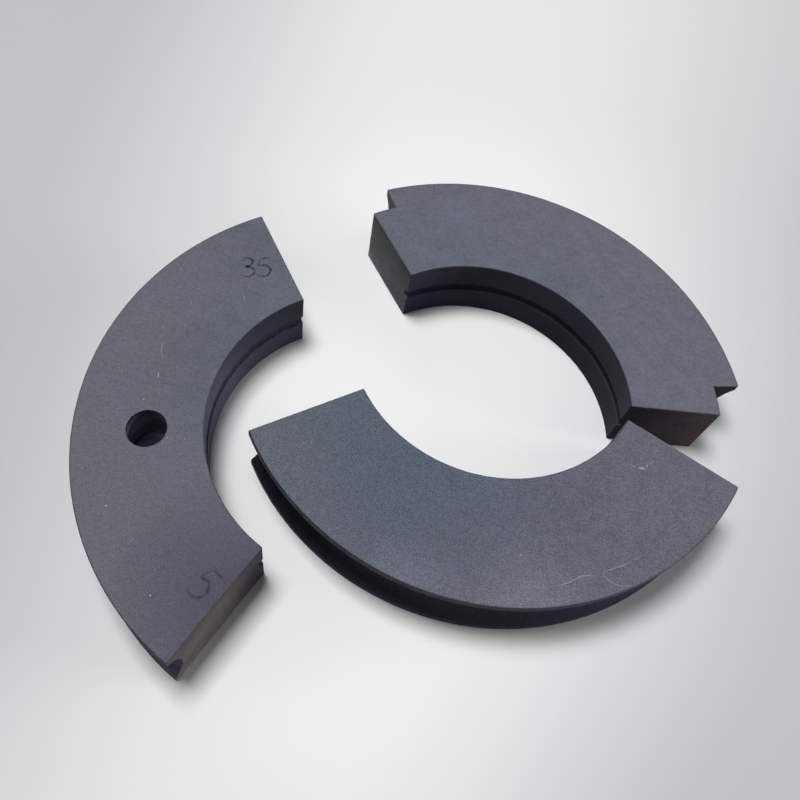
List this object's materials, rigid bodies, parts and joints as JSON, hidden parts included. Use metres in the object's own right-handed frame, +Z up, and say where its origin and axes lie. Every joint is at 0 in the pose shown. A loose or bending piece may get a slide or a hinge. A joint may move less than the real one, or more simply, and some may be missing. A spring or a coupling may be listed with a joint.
{
  "type": "segmented graphite shaft seal ring",
  "caption": "Split graphite seal ring in loose curved segments, with a hollow rim groove, a fine bore groove, end rebates and a blind pin hole.",
  "frame": {"origin": "on the ground under the middle of the box around the three segments as they lie", "axes": "+Z up, along the ring's axis; +X along the longer side of the laid-out set, +Y along the shorter side, away from the plain segment's rim"},
  "size_m": [0.2366, 0.2118, 0.029],
  "materials": {
    "graphite": "fine-grained machined graphite, matte dark blue-grey"
  },
  "bodies": {
    "root": {"pin_hole_segment": "graphite", "rebated_segment": "graphite", "plain_segment": "graphite"}
  },
  "joints": []
}
